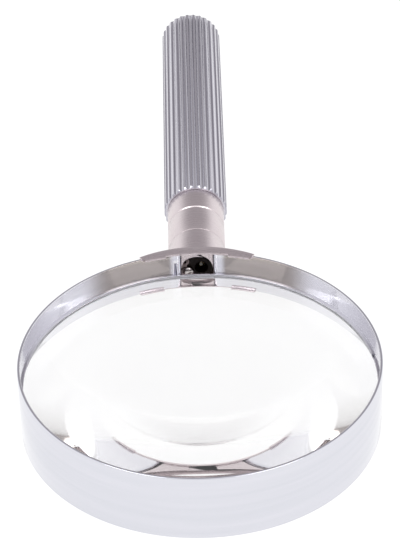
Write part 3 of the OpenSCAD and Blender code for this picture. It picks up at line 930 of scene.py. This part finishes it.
# %% The screw, with a domed head and a sawn slot
HEAD_R, HEAD_H, SHANK_R, SHANK = 1.9, 1.0, 0.8, 4.5
SLOT_HALF, SLOT_DEPTH, SLOT_A = 0.25, 0.5, radians(25.6)
seat = insert_front - 0.25
screw = turned("contact_screw_slotted", [
    (0, seat - HEAD_H), (0.9, seat - 0.93, 0.4), (1.6, seat - 0.62, 0.3),
    (HEAD_R, seat - 0.25, 0.15), (HEAD_R, seat, 0.05), (SHANK_R, seat),
    (SHANK_R, seat + SHANK, 0.1), (0, seat + SHANK + 0.2)],
    beside(*SCREW), steps=64, closed=False)
sawn = block((SCREW[0] - 3, seat - 1.5, SCREW[1] - SLOT_HALF),
             (SCREW[0] + 3, seat - HEAD_H + SLOT_DEPTH, SCREW[1] + SLOT_HALF), "sawn_slot")
edit()
pick_all()
bpy.ops.transform.rotate(value=SLOT_A, orient_axis="Y", center_override=(
    SCREW[0] * MM, centre_y + seat * MM, (axis_z + SCREW[1]) * MM))
leave()
cut(screw, sawn)
soften(screw, 0.04, angle=40)
fit(screw, "contact_screw", nickelled)

# %% The eyelet, the lamp and its base
rolled = turned("earth_eyelet_rolled", [
    (0.5, seat - 0.2, 0.08), (1.0, seat - 0.2, 0.1), (1.0, seat, 0.05), (0.75, seat),
    (0.75, seat + 2), (0.5, seat + 2)], beside(*EYELET), steps=48)
fit(rolled, "earth_eyelet", tarnished)

bulb_front, bulb_back = stations("lamp_bulb")
GLASS, DOME_STEPS, BASE_FLARE = 0.3, 10, 0.28


def dome(radius, tip):
    """Corners of a half-round end from the axis out, in mm."""
    turns = [pi / 2 * i / DOME_STEPS for i in range(DOME_STEPS + 1)]
    return [(radius * sin(a), tip + radius * (1 - cos(a))) for a in turns]


bulb = turned("lamp_bulb_blown", [
    *dome(LAMP_R, bulb_front), (LAMP_R, bulb_back), (LAMP_R - GLASS, bulb_back),
    *reversed(dome(LAMP_R - GLASS, bulb_front + GLASS))], beside(LAMP_X, 0), steps=64, closed=False)
fit(bulb, "lamp_bulb", lamp_glass)

base_front, base_back = stations("lamp_base")
base = turned("lamp_base_brass", [
    (0, base_front), (LAMP_R, base_front), (LAMP_R + BASE_FLARE, base_front + 0.2, 0.1),
    (LAMP_R + BASE_FLARE, base_back - 0.4, 0.15), (0.7, base_back - 0.2, 0.05),
    (0.7, base_back, 0.15), (0, base_back)], beside(LAMP_X, 0), steps=64, closed=False)
fit(base, "lamp_base", brass)

# %% [markdown]
# ## What stays as it is
# Some CAD nodes are small, hidden and already right: the earth tag, the contacts and the two
# mouldings in the neck. They keep their own shapes and only get their real finish.

# %% Finishes for the nodes that stay
for node, material in (("earth_tag", tarnished), ("lamp_contact", brass),
                       ("rotor_contact", brass), ("battery_contact", brass),
                       ("switch_rotor", phenolic), ("contact_carrier", phenolic)):
    kept = frame["nodes"][node]
    for i in range(len(kept.material_slots)):
        kept.material_slots[i].material = material
    if not kept.material_slots:
        kept.data.materials.append(material)
    print(f"{node}: keeps its shape, finish {material.name}")

# %% [markdown]
# ## Cells, liner and spring
# They show when the grip is pulled off. A cell is a can in a printed jacket that is rolled in
# at both ends, with a raised cap. The spring is a cone of wire, drawn as a curve with
# thickness and then made a mesh.

# %% The liner
liner_front, liner_back = stations("liner_tube")
liner = turned("liner_tube_card", [
    (CELL_ROOM_R + 0.05, liner_front, 0.1), (THREAD_R, liner_front, 0.1),
    (THREAD_R, liner_back, 0.1), (CELL_ROOM_R + 0.05, liner_back, 0.1)])
fit(liner, "liner_tube", card)

# %% The two cells and their caps
CELL_END_R, PALE_BAND = 6.1, 11
for cell, cap in (("front_cell", "front_cell_cap"), ("rear_cell", "rear_cell_cap")):
    first, last = stations(cell)
    radius = (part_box(cell)[1].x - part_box(cell)[0].x) / 2 / MM
    body = turned(cell + "_jacket", [
        (0, first + 0.25), (4.6, first + 0.25), (5.0, first + 0.05, 0.1),
        (CELL_END_R, first + 0.05, 0.1), (CELL_END_R + 0.2, first, 0.1),
        (radius - 0.35, first, 0.2), (radius, first + 0.45, 0.3), (radius, last - 0.4, 0.3),
        (radius - 0.35, last, 0.2), (CELL_END_R + 0.1, last, 0.1),
        (CELL_END_R - 0.1, last - 0.12, 0.1), (0, last - 0.12)], closed=False)
    fit(body, cell, jacket("printed_foil_" + cell, centre_y + (first + PALE_BAND) * MM))
    tip, foot = stations(cap)
    cap_r = (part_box(cap)[1].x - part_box(cap)[0].x) / 2 / MM
    nub = turned(cap + "_pressed", [
        (0, tip), (cap_r - 0.2, tip, 0.3), (cap_r, foot - 0.2, 0.1), (cap_r, foot), (0, foot)],
        closed=False)
    fit(nub, cap, nickelled)

# %% The tail spring
coil_front, coil_back = stations("tail_spring")
WIRE, TURNS, NARROW, WIDE, PER_TURN = 0.35, 4, 2.6, 5.2, 32
bpy.ops.object.select_all(action="DESELECT")
bpy.ops.curve.primitive_nurbs_path_add(location=(0, 0, 0))
coil = bpy.context.object
coil.name = "tail_spring_wire"
coil.data.splines.clear()
spline = coil.data.splines.new("POLY")
spline.points.add(TURNS * PER_TURN)
for i, point in enumerate(spline.points):
    t = i / (TURNS * PER_TURN)
    a, r = 2 * pi * TURNS * t, NARROW + (WIDE - NARROW) * t
    s = coil_front + WIRE + (coil_back - coil_front - 2 * WIRE) * t
    point.co = (r * cos(a) * MM, centre_y + s * MM, (axis_z - r * sin(a)) * MM, 1)
coil.data.dimensions = "3D"
coil.data.bevel_depth, coil.data.bevel_resolution = WIRE * MM, 3
coil.data.use_fill_caps = True
only(coil)
bpy.ops.object.convert(target="MESH")
edit()
close_up()
smooth(coil, 50)
fit(coil, "tail_spring", spring_wire)

# %% [markdown]
# ## Floor, sky and lamps
# The magnifier lies in a white tent on a lit opal table, which is as bright as white paper.
# The tent is greyer in one patch, behind the handle and above, and a little greyer on the
# viewer's side. Two soft lights hang in front, left and right. Chrome has almost no colour of
# its own, so these are what gives it its tones.

# %% The floor
bpy.ops.object.select_all(action="DESELECT")
bpy.ops.mesh.primitive_plane_add(size=12, location=(0, 0, 0))
floor = bpy.context.object
floor.name = "studio_floor"
GLOW = 0.93
opal, tree, shader = finish("lit_opal_table", Roughness=0.9, Emission_Strength=GLOW,
                            Emission_Color=colour("#ffffff"))
dress(tree, shader, grain(tree, (40, 40, 40), detail=2), tones=("#5c5c5c", "#626262"))
floor.data.materials.append(opal)

# %% The sky
SKY, UP_AND_BACK = 1.1, (0, 0.8, 0.6)
GREY_PATCH, VIEWER_SIDE = (0.72, 0.97), (0.15, -0.6)
world = bpy.data.worlds.new("white_tent")
bpy.context.scene.world = world
world.use_nodes = True
sky = world.node_tree
towards = add(sky, "VectorMath", {"operation": "DOT_PRODUCT"}, {1: UP_AND_BACK},
              {0: add(sky, "TexCoord").outputs["Generated"]}).outputs["Value"]
patch, front = [add(sky, "MapRange", SOFT_STEP, {"From Min": start, "From Max": full},
                    {"Value": towards}).outputs["Result"]
                for start, full in (GREY_PATCH, VIEWER_SIDE)]
front_tone = add(sky, "Mix", TWO_COLOURS, {"A": colour("#fdfdff"), "B": colour("#d2d0d6")},
                 {"Factor": front}).outputs["Result"]
tone = add(sky, "Mix", TWO_COLOURS, {"B": colour("#a9a6aa")}, {"Factor": patch, "A": front_tone})
sky.links.new(tone.outputs["Result"], sky.nodes["Background"].inputs["Color"])
sky.nodes["Background"].inputs["Strength"].default_value = SKY
print("sky:", world.name, "strength", SKY)


# %% The lamps
def softbox(name, place, aim, width, height, power):
    """A rectangular light that looks at a point; all in metres and watts."""
    bpy.ops.object.select_all(action="DESELECT")
    bpy.ops.object.light_add(type="AREA", location=place)
    lamp = bpy.context.object
    lamp.name = name
    lamp.rotation_euler = (Vector(aim) - Vector(place)).to_track_quat("-Z", "Y").to_euler()
    lamp.data.shape, lamp.data.size, lamp.data.size_y = "RECTANGLE", width, height
    lamp.data.energy = power
    return lamp


LAMP_ASIDE, LAMP_FRONT, LAMP_UP, LAMP_WATTS = 0.5, -0.5, 0.85, 2.2
for side, name in ((-1, "key_left"), (1, "key_right")):
    softbox(name, (side * LAMP_ASIDE, LAMP_FRONT, LAMP_UP), (0, 0, 0), 0.5, 0.4, LAMP_WATTS)

# The standard view shows the colours as they are written in the finishes.
bpy.context.scene.view_settings.view_transform = "Standard"

# %% How often light may turn
# Inside the thick lens light is thrown back and forth between the faces before it leaves.
# With the usual few turns it would be lost on the way, and the lens and the wall behind it
# would go black.
light_paths = bpy.context.scene.cycles
light_paths.max_bounces, light_paths.glossy_bounces, light_paths.transmission_bounces = 32, 24, 32
print("light may turn", light_paths.max_bounces, "times")

# %% [markdown]
# ## The pieces made
# The pieces may not stand out of the CAD model's box; each piece's offset from its node's box is
# printed as it is fitted. Here only their number is written down.

# %% The number of pieces made
print("pieces made:", len(made))
